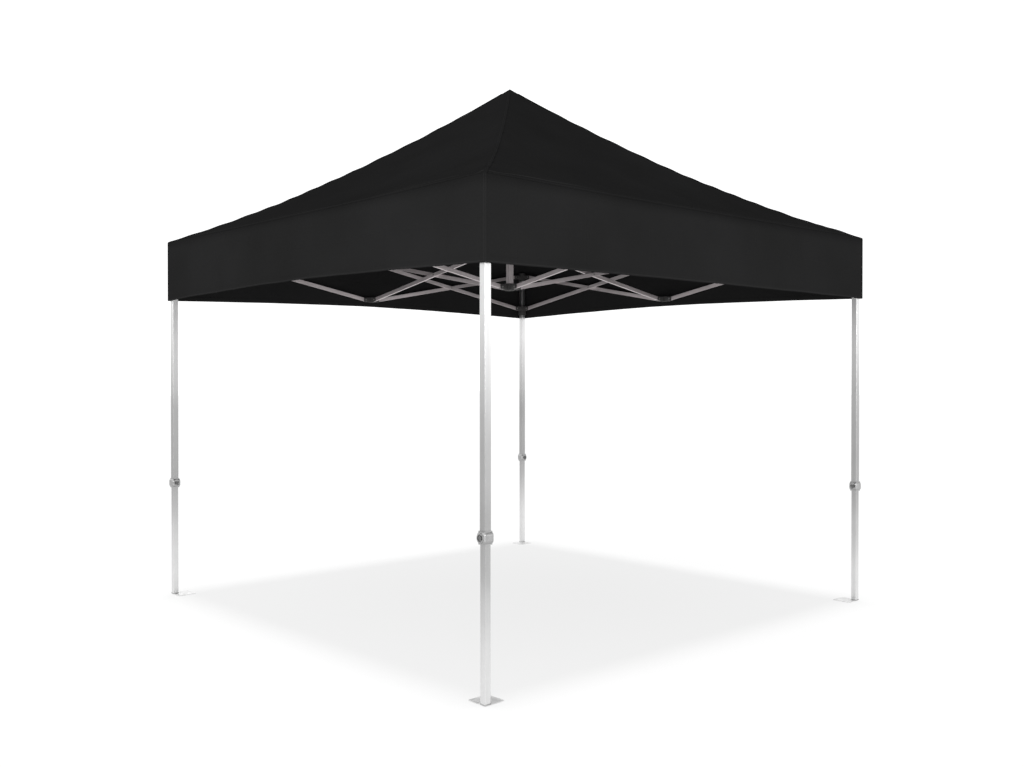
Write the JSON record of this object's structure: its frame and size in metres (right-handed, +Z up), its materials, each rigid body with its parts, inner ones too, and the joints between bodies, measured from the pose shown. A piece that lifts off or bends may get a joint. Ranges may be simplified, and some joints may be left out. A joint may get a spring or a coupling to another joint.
{
  "type": "pop up canopy",
  "caption": "Square pop-up canopy: four telescoping legs, a folding scissor truss frame with a centre mast, and a peaked fabric roof with a hanging valance.",
  "frame": {"origin": "ground level under the middle of the four legs", "axes": "+Z up; X and Y along the sides; the front corner is at +X -Y, the right corner at +X +Y"},
  "size_m": [3, 3.0008, 3.095],
  "materials": {
    "leg_metal": "satin",
    "bar_metal": "satin",
    "bracket_plastic": "moulded, fine texture",
    "button_plastic": "moulded",
    "roof_fabric": "matt woven polyester"
  },
  "bodies": {
    "hub": {"hub_upper": "bracket_plastic", "canopy_fabric": "roof_fabric"},
    "bar_inner_front_right_high": {"bar_inner_front_right_high": "bar_metal"},
    "bar_inner_front_right_low": {"bar_inner_front_right_low": "bar_metal"},
    "union_lower_front_right": {"union_lower_front_right": "bracket_plastic"},
    "union_upper_front_right": {"union_upper_front_right": "bracket_plastic"},
    "hub_lower": {"hub_lower": "bracket_plastic"},
    "bar_front_right_high_at_front": {"bar_front_right_high_at_front": "bar_metal"},
    "bar_front_right_low_at_front": {"bar_front_right_low_at_front": "bar_metal"},
    "leg_front": {"leg_upper_front": "leg_metal", "leg_head_front": "bracket_plastic"},
    "slider_front": {"slider_front": "bracket_plastic"},
    "bar_front_right_high_at_right": {"bar_front_right_high_at_right": "bar_metal"},
    "bar_front_right_low_at_right": {"bar_front_right_low_at_right": "bar_metal"},
    "bar_inner_back_right_high": {"bar_inner_back_right_high": "bar_metal"},
    "bar_inner_back_right_low": {"bar_inner_back_right_low": "bar_metal"},
    "union_lower_back_right": {"union_lower_back_right": "bracket_plastic"},
    "union_upper_back_right": {"union_upper_back_right": "bracket_plastic"},
    "bar_back_right_high_at_right": {"bar_back_right_high_at_right": "bar_metal"},
    "bar_back_right_low_at_right": {"bar_back_right_low_at_right": "bar_metal"},
    "leg_right": {"leg_upper_right": "leg_metal", "leg_head_right": "bracket_plastic"},
    "slider_right": {"slider_right": "bracket_plastic"},
    "bar_back_right_high_at_back": {"bar_back_right_high_at_back": "bar_metal"},
    "bar_back_right_low_at_back": {"bar_back_right_low_at_back": "bar_metal"},
    "bar_inner_back_left_high": {"bar_inner_back_left_high": "bar_metal"},
    "bar_inner_back_left_low": {"bar_inner_back_left_low": "bar_metal"},
    "union_lower_back_left": {"union_lower_back_left": "bracket_plastic"},
    "union_upper_back_left": {"union_upper_back_left": "bracket_plastic"},
    "bar_back_left_high_at_back": {"bar_back_left_high_at_back": "bar_metal"},
    "bar_back_left_low_at_back": {"bar_back_left_low_at_back": "bar_metal"},
    "leg_back": {"leg_upper_back": "leg_metal", "leg_head_back": "bracket_plastic"},
    "slider_back": {"slider_back": "bracket_plastic"},
    "bar_back_left_high_at_left": {"bar_back_left_high_at_left": "bar_metal"},
    "bar_back_left_low_at_left": {"bar_back_left_low_at_left": "bar_metal"},
    "bar_inner_front_left_high": {"bar_inner_front_left_high": "bar_metal"},
    "bar_inner_front_left_low": {"bar_inner_front_left_low": "bar_metal"},
    "union_lower_front_left": {"union_lower_front_left": "bracket_plastic"},
    "union_upper_front_left": {"union_upper_front_left": "bracket_plastic"},
    "bar_front_left_high_at_left": {"bar_front_left_high_at_left": "bar_metal"},
    "bar_front_left_low_at_left": {"bar_front_left_low_at_left": "bar_metal"},
    "leg_left": {"leg_upper_left": "leg_metal", "leg_head_left": "bracket_plastic"},
    "slider_left": {"slider_left": "bracket_plastic"},
    "bar_front_left_high_at_front": {"bar_front_left_high_at_front": "bar_metal"},
    "bar_front_left_low_at_front": {"bar_front_left_low_at_front": "bar_metal"},
    "lower_leg_front": {"leg_lower_front": "leg_metal"},
    "leg_button_front": {"leg_button_front": "button_plastic"},
    "slider_button_front": {"slider_button_front": "button_plastic"},
    "lower_leg_right": {"leg_lower_right": "leg_metal"},
    "leg_button_right": {"leg_button_right": "button_plastic"},
    "slider_button_right": {"slider_button_right": "button_plastic"},
    "lower_leg_back": {"leg_lower_back": "leg_metal"},
    "leg_button_back": {"leg_button_back": "button_plastic"},
    "slider_button_back": {"slider_button_back": "button_plastic"},
    "lower_leg_left": {"leg_lower_left": "leg_metal"},
    "leg_button_left": {"leg_button_left": "button_plastic"},
    "slider_button_left": {"slider_button_left": "button_plastic"},
    "peak_pole": {"peak_pole": "bar_metal"}
  },
  "joints": [
    {"name": "fold", "type": "hinge", "parent": "hub", "child": "bar_inner_front_right_high", "pos_m": [0.062, 0.007, 2.143], "axis": [0, 1, 0], "range_deg": [0, 74]},
    {"name": "fold_union_lower_front_right", "type": "hinge", "parent": "bar_inner_front_right_high", "child": "union_lower_front_right", "pos_m": [1.412, 0.007, 1.891], "axis": [0, 1, 0], "range_deg": [-74, 0]},
    {"name": "fold_inner_front_right_low", "type": "hinge", "parent": "bar_inner_front_right_high", "child": "bar_inner_front_right_low", "pos_m": [0.737, 0, 2.017], "axis": [0, 1, 0], "range_deg": [-148, 0]},
    {"name": "fold_union_upper_front_right", "type": "hinge", "parent": "bar_inner_front_right_low", "child": "union_upper_front_right", "pos_m": [1.412, -0.007, 2.143], "axis": [0, 1, 0], "range_deg": [0, 74]},
    {"name": "fold_hub_lower", "type": "hinge", "parent": "bar_inner_front_right_low", "child": "hub_lower", "pos_m": [0.062, -0.007, 1.891], "axis": [0, 1, 0], "range_deg": [0, 74]},
    {"name": "fold_front_right_high_at_front", "type": "hinge", "parent": "union_lower_front_right", "child": "bar_front_right_high_at_front", "pos_m": [1.477, -0.05, 1.891], "axis": [-1, 0, 0], "range_deg": [0, 74]},
    {"name": "fold_front_right_low_at_front", "type": "hinge", "parent": "bar_front_right_high_at_front", "child": "bar_front_right_low_at_front", "pos_m": [1.47, -0.725, 2.017], "axis": [-1, 0, 0], "range_deg": [-148, 0]},
    {"name": "fold_leg_front", "type": "hinge", "parent": "bar_front_right_high_at_front", "child": "leg_front", "pos_m": [1.477, -1.4, 2.143], "axis": [-1, 0, 0], "range_deg": [-74, 0]},
    {"name": "fold_slider_front", "type": "hinge", "parent": "bar_front_right_low_at_front", "child": "slider_front", "pos_m": [1.463, -1.4, 1.891], "axis": [-1, 0, 0], "range_deg": [0, 74]},
    {"name": "fold_front_right_high_at_right", "type": "hinge", "parent": "union_lower_front_right", "child": "bar_front_right_high_at_right", "pos_m": [1.477, 0.05, 1.891], "axis": [1, 0, 0], "range_deg": [0, 74]},
    {"name": "fold_front_right_low_at_right", "type": "hinge", "parent": "bar_front_right_high_at_right", "child": "bar_front_right_low_at_right", "pos_m": [1.47, 0.725, 2.017], "axis": [1, 0, 0], "range_deg": [-148, 0]},
    {"name": "fold_inner_back_right_high", "type": "hinge", "parent": "hub", "child": "bar_inner_back_right_high", "pos_m": [-0.007, 0.062, 2.143], "axis": [-1, 0, 0], "range_deg": [0, 74]},
    {"name": "fold_union_lower_back_right", "type": "hinge", "parent": "bar_inner_back_right_high", "child": "union_lower_back_right", "pos_m": [-0.007, 1.412, 1.891], "axis": [-1, 0, 0], "range_deg": [-74, 0]},
    {"name": "fold_inner_back_right_low", "type": "hinge", "parent": "bar_inner_back_right_high", "child": "bar_inner_back_right_low", "pos_m": [0, 0.737, 2.017], "axis": [-1, 0, 0], "range_deg": [-148, 0]},
    {"name": "fold_union_upper_back_right", "type": "hinge", "parent": "bar_inner_back_right_low", "child": "union_upper_back_right", "pos_m": [0.007, 1.412, 2.143], "axis": [-1, 0, 0], "range_deg": [0, 74]},
    {"name": "fold_back_right_high_at_right", "type": "hinge", "parent": "union_lower_back_right", "child": "bar_back_right_high_at_right", "pos_m": [0.05, 1.477, 1.891], "axis": [0, -1, 0], "range_deg": [0, 74]},
    {"name": "fold_back_right_low_at_right", "type": "hinge", "parent": "bar_back_right_high_at_right", "child": "bar_back_right_low_at_right", "pos_m": [0.725, 1.47, 2.017], "axis": [0, -1, 0], "range_deg": [-148, 0]},
    {"name": "fold_leg_right", "type": "hinge", "parent": "bar_back_right_high_at_right", "child": "leg_right", "pos_m": [1.4, 1.477, 2.143], "axis": [0, -1, 0], "range_deg": [-74, 0]},
    {"name": "fold_slider_right", "type": "hinge", "parent": "bar_back_right_low_at_right", "child": "slider_right", "pos_m": [1.4, 1.463, 1.891], "axis": [0, -1, 0], "range_deg": [0, 74]},
    {"name": "fold_back_right_high_at_back", "type": "hinge", "parent": "union_lower_back_right", "child": "bar_back_right_high_at_back", "pos_m": [-0.05, 1.477, 1.891], "axis": [0, 1, 0], "range_deg": [0, 74]},
    {"name": "fold_back_right_low_at_back", "type": "hinge", "parent": "bar_back_right_high_at_back", "child": "bar_back_right_low_at_back", "pos_m": [-0.725, 1.47, 2.017], "axis": [0, 1, 0], "range_deg": [-148, 0]},
    {"name": "fold_inner_back_left_high", "type": "hinge", "parent": "hub", "child": "bar_inner_back_left_high", "pos_m": [-0.062, -0.007, 2.143], "axis": [0, -1, 0], "range_deg": [0, 74]},
    {"name": "fold_union_lower_back_left", "type": "hinge", "parent": "bar_inner_back_left_high", "child": "union_lower_back_left", "pos_m": [-1.412, -0.007, 1.891], "axis": [0, -1, 0], "range_deg": [-74, 0]},
    {"name": "fold_inner_back_left_low", "type": "hinge", "parent": "bar_inner_back_left_high", "child": "bar_inner_back_left_low", "pos_m": [-0.737, 0, 2.017], "axis": [0, -1, 0], "range_deg": [-148, 0]},
    {"name": "fold_union_upper_back_left", "type": "hinge", "parent": "bar_inner_back_left_low", "child": "union_upper_back_left", "pos_m": [-1.412, 0.007, 2.143], "axis": [0, -1, 0], "range_deg": [0, 74]},
    {"name": "fold_back_left_high_at_back", "type": "hinge", "parent": "union_lower_back_left", "child": "bar_back_left_high_at_back", "pos_m": [-1.477, 0.05, 1.891], "axis": [1, 0, 0], "range_deg": [0, 74]},
    {"name": "fold_back_left_low_at_back", "type": "hinge", "parent": "bar_back_left_high_at_back", "child": "bar_back_left_low_at_back", "pos_m": [-1.47, 0.725, 2.017], "axis": [1, 0, 0], "range_deg": [-148, 0]},
    {"name": "fold_leg_back", "type": "hinge", "parent": "bar_back_left_high_at_back", "child": "leg_back", "pos_m": [-1.477, 1.4, 2.143], "axis": [1, 0, 0], "range_deg": [-74, 0]},
    {"name": "fold_slider_back", "type": "hinge", "parent": "bar_back_left_low_at_back", "child": "slider_back", "pos_m": [-1.463, 1.4, 1.891], "axis": [1, 0, 0], "range_deg": [0, 74]},
    {"name": "fold_back_left_high_at_left", "type": "hinge", "parent": "union_lower_back_left", "child": "bar_back_left_high_at_left", "pos_m": [-1.477, -0.05, 1.891], "axis": [-1, 0, 0], "range_deg": [0, 74]},
    {"name": "fold_back_left_low_at_left", "type": "hinge", "parent": "bar_back_left_high_at_left", "child": "bar_back_left_low_at_left", "pos_m": [-1.47, -0.725, 2.017], "axis": [-1, 0, 0], "range_deg": [-148, 0]},
    {"name": "fold_inner_front_left_high", "type": "hinge", "parent": "hub", "child": "bar_inner_front_left_high", "pos_m": [0.007, -0.062, 2.143], "axis": [1, 0, 0], "range_deg": [0, 74]},
    {"name": "fold_union_lower_front_left", "type": "hinge", "parent": "bar_inner_front_left_high", "child": "union_lower_front_left", "pos_m": [0.007, -1.412, 1.891], "axis": [1, 0, 0], "range_deg": [-74, 0]},
    {"name": "fold_inner_front_left_low", "type": "hinge", "parent": "bar_inner_front_left_high", "child": "bar_inner_front_left_low", "pos_m": [0, -0.737, 2.017], "axis": [1, 0, 0], "range_deg": [-148, 0]},
    {"name": "fold_union_upper_front_left", "type": "hinge", "parent": "bar_inner_front_left_low", "child": "union_upper_front_left", "pos_m": [-0.007, -1.412, 2.143], "axis": [1, 0, 0], "range_deg": [0, 74]},
    {"name": "fold_front_left_high_at_left", "type": "hinge", "parent": "union_lower_front_left", "child": "bar_front_left_high_at_left", "pos_m": [-0.05, -1.477, 1.891], "axis": [0, 1, 0], "range_deg": [0, 74]},
    {"name": "fold_front_left_low_at_left", "type": "hinge", "parent": "bar_front_left_high_at_left", "child": "bar_front_left_low_at_left", "pos_m": [-0.725, -1.47, 2.017], "axis": [0, 1, 0], "range_deg": [-148, 0]},
    {"name": "fold_leg_left", "type": "hinge", "parent": "bar_front_left_high_at_left", "child": "leg_left", "pos_m": [-1.4, -1.477, 2.143], "axis": [0, 1, 0], "range_deg": [-74, 0]},
    {"name": "fold_slider_left", "type": "hinge", "parent": "bar_front_left_low_at_left", "child": "slider_left", "pos_m": [-1.4, -1.463, 1.891], "axis": [0, 1, 0], "range_deg": [0, 74]},
    {"name": "fold_front_left_high_at_front", "type": "hinge", "parent": "union_lower_front_left", "child": "bar_front_left_high_at_front", "pos_m": [0.05, -1.477, 1.891], "axis": [0, -1, 0], "range_deg": [0, 74]},
    {"name": "fold_front_left_low_at_front", "type": "hinge", "parent": "bar_front_left_high_at_front", "child": "bar_front_left_low_at_front", "pos_m": [0.725, -1.47, 2.017], "axis": [0, -1, 0], "range_deg": [-148, 0]},
    {"name": "leg_height_front", "type": "slide", "parent": "leg_front", "child": "lower_leg_front", "axis": [0, 0, 1], "range_m": [0, 0.62]},
    {"name": "press_leg_button_front", "type": "slide", "parent": "leg_front", "child": "leg_button_front", "axis": [0, 1, 0], "range_m": [0, 0.003], "stiffness_N_per_m": 600},
    {"name": "press_slider_button_front", "type": "slide", "parent": "slider_front", "child": "slider_button_front", "axis": [-1, 0, 0], "range_m": [0, 0.002], "stiffness_N_per_m": 600},
    {"name": "leg_height_right", "type": "slide", "parent": "leg_right", "child": "lower_leg_right", "axis": [0, 0, 1], "range_m": [0, 0.62]},
    {"name": "press_leg_button_right", "type": "slide", "parent": "leg_right", "child": "leg_button_right", "axis": [0, 1, 0], "range_m": [0, 0.003], "stiffness_N_per_m": 600},
    {"name": "press_slider_button_right", "type": "slide", "parent": "slider_right", "child": "slider_button_right", "axis": [0, -1, 0], "range_m": [0, 0.002], "stiffness_N_per_m": 600},
    {"name": "leg_height_back", "type": "slide", "parent": "leg_back", "child": "lower_leg_back", "axis": [0, 0, 1], "range_m": [0, 0.62]},
    {"name": "press_leg_button_back", "type": "slide", "parent": "leg_back", "child": "leg_button_back", "axis": [-1, 0, 0], "range_m": [0, 0.003], "stiffness_N_per_m": 600},
    {"name": "press_slider_button_back", "type": "slide", "parent": "slider_back", "child": "slider_button_back", "axis": [1, 0, 0], "range_m": [0, 0.002], "stiffness_N_per_m": 600},
    {"name": "leg_height_left", "type": "slide", "parent": "leg_left", "child": "lower_leg_left", "axis": [0, 0, 1], "range_m": [0, 0.62]},
    {"name": "press_leg_button_left", "type": "slide", "parent": "leg_left", "child": "leg_button_left", "axis": [-1, 0, 0], "range_m": [0, 0.003], "stiffness_N_per_m": 600},
    {"name": "press_slider_button_left", "type": "slide", "parent": "slider_left", "child": "slider_button_left", "axis": [0, 1, 0], "range_m": [0, 0.002], "stiffness_N_per_m": 600},
    {"name": "pole_extension", "type": "slide", "parent": "hub_lower", "child": "peak_pole", "axis": [0, 0, 1], "range_m": [0, 0.205]}
  ],
  "couplings": [
    {"joint": "fold_union_lower_front_right", "follows": "fold", "ratio": -1},
    {"joint": "fold_inner_front_right_low", "follows": "fold", "ratio": -2},
    {"joint": "fold_union_upper_front_right", "follows": "fold", "ratio": 1},
    {"joint": "fold_hub_lower", "follows": "fold", "ratio": 1},
    {"joint": "fold_front_right_high_at_front", "follows": "fold", "ratio": 1},
    {"joint": "fold_front_right_low_at_front", "follows": "fold", "ratio": -2},
    {"joint": "fold_leg_front", "follows": "fold", "ratio": -1},
    {"joint": "fold_slider_front", "follows": "fold", "ratio": 1},
    {"joint": "fold_front_right_high_at_right", "follows": "fold", "ratio": 1},
    {"joint": "fold_front_right_low_at_right", "follows": "fold", "ratio": -2},
    {"joint": "fold_inner_back_right_high", "follows": "fold", "ratio": 1},
    {"joint": "fold_union_lower_back_right", "follows": "fold", "ratio": -1},
    {"joint": "fold_inner_back_right_low", "follows": "fold", "ratio": -2},
    {"joint": "fold_union_upper_back_right", "follows": "fold", "ratio": 1},
    {"joint": "fold_back_right_high_at_right", "follows": "fold", "ratio": 1},
    {"joint": "fold_back_right_low_at_right", "follows": "fold", "ratio": -2},
    {"joint": "fold_leg_right", "follows": "fold", "ratio": -1},
    {"joint": "fold_slider_right", "follows": "fold", "ratio": 1},
    {"joint": "fold_back_right_high_at_back", "follows": "fold", "ratio": 1},
    {"joint": "fold_back_right_low_at_back", "follows": "fold", "ratio": -2},
    {"joint": "fold_inner_back_left_high", "follows": "fold", "ratio": 1},
    {"joint": "fold_union_lower_back_left", "follows": "fold", "ratio": -1},
    {"joint": "fold_inner_back_left_low", "follows": "fold", "ratio": -2},
    {"joint": "fold_union_upper_back_left", "follows": "fold", "ratio": 1},
    {"joint": "fold_back_left_high_at_back", "follows": "fold", "ratio": 1},
    {"joint": "fold_back_left_low_at_back", "follows": "fold", "ratio": -2},
    {"joint": "fold_leg_back", "follows": "fold", "ratio": -1},
    {"joint": "fold_slider_back", "follows": "fold", "ratio": 1},
    {"joint": "fold_back_left_high_at_left", "follows": "fold", "ratio": 1},
    {"joint": "fold_back_left_low_at_left", "follows": "fold", "ratio": -2},
    {"joint": "fold_inner_front_left_high", "follows": "fold", "ratio": 1},
    {"joint": "fold_union_lower_front_left", "follows": "fold", "ratio": -1},
    {"joint": "fold_inner_front_left_low", "follows": "fold", "ratio": -2},
    {"joint": "fold_union_upper_front_left", "follows": "fold", "ratio": 1},
    {"joint": "fold_front_left_high_at_left", "follows": "fold", "ratio": 1},
    {"joint": "fold_front_left_low_at_left", "follows": "fold", "ratio": -2},
    {"joint": "fold_leg_left", "follows": "fold", "ratio": -1},
    {"joint": "fold_slider_left", "follows": "fold", "ratio": 1},
    {"joint": "fold_front_left_high_at_front", "follows": "fold", "ratio": 1},
    {"joint": "fold_front_left_low_at_front", "follows": "fold", "ratio": -2},
    {"joint": "pole_extension", "follows": "fold", "m_per_rad": 0.155}
  ]
}
